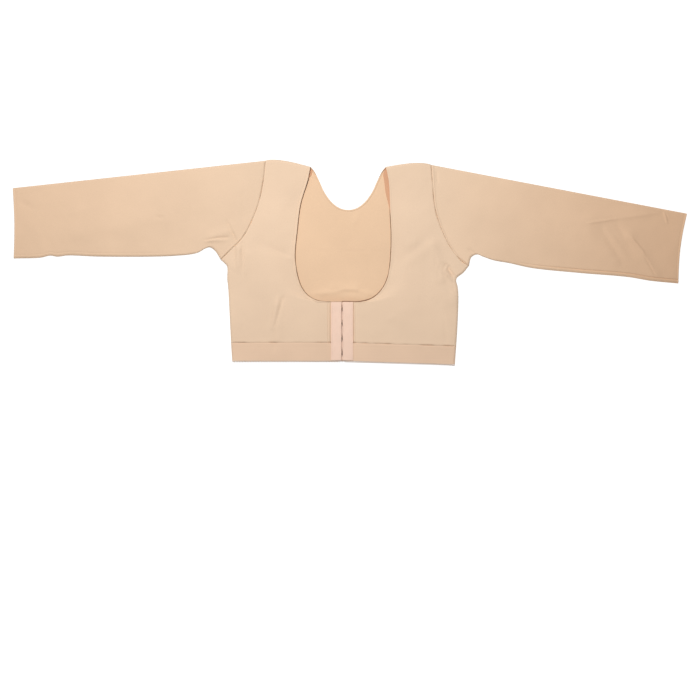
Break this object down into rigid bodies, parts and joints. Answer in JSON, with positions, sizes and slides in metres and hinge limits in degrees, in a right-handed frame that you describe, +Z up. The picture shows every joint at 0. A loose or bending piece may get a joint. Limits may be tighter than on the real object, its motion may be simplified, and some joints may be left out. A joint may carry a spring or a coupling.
{
  "type": "compression top with three-quarter arm sleeves",
  "caption": "Cropped compression garment that squeezes the upper body and arms, with two long sleeves, a deep scooped neck, a hooked front closure and an elastic hem band, lying flat.",
  "frame": {"origin": "on the surface that the garment lies on, under the middle of its bounding box", "axes": "+X towards the wearer's left sleeve, +Y from hem to neck, +Z up from the surface, out of the front of the garment"},
  "size_m": [1.1466, 0.3502, 0.0131],
  "materials": {
    "knit_front": "smooth matt nylon and spandex warp knit, beige",
    "knit_sleeve": "smooth matt nylon and spandex warp knit, beige",
    "knit_back": "inner face of the same knit, slightly yellower",
    "elastic_band": "ribbed elastic with a picot edge",
    "closure_tape": "brushed satin tape, pinkish beige",
    "wire": "plated steel wire"
  },
  "bodies": {
    "root": {"front_panel_right": "knit_front", "front_panel_left": "knit_front", "sleeve_right": "knit_sleeve", "sleeve_left": "knit_sleeve", "back_panel": "knit_back", "hem_band": "elastic_band", "hook_tape": "closure_tape", "eye_tape": "closure_tape", "hook_1": "wire", "hook_2": "wire", "hook_3": "wire", "hook_4": "wire", "eye_1": "wire", "eye_2": "wire", "eye_3": "wire", "eye_4": "wire"}
  },
  "joints": []
}
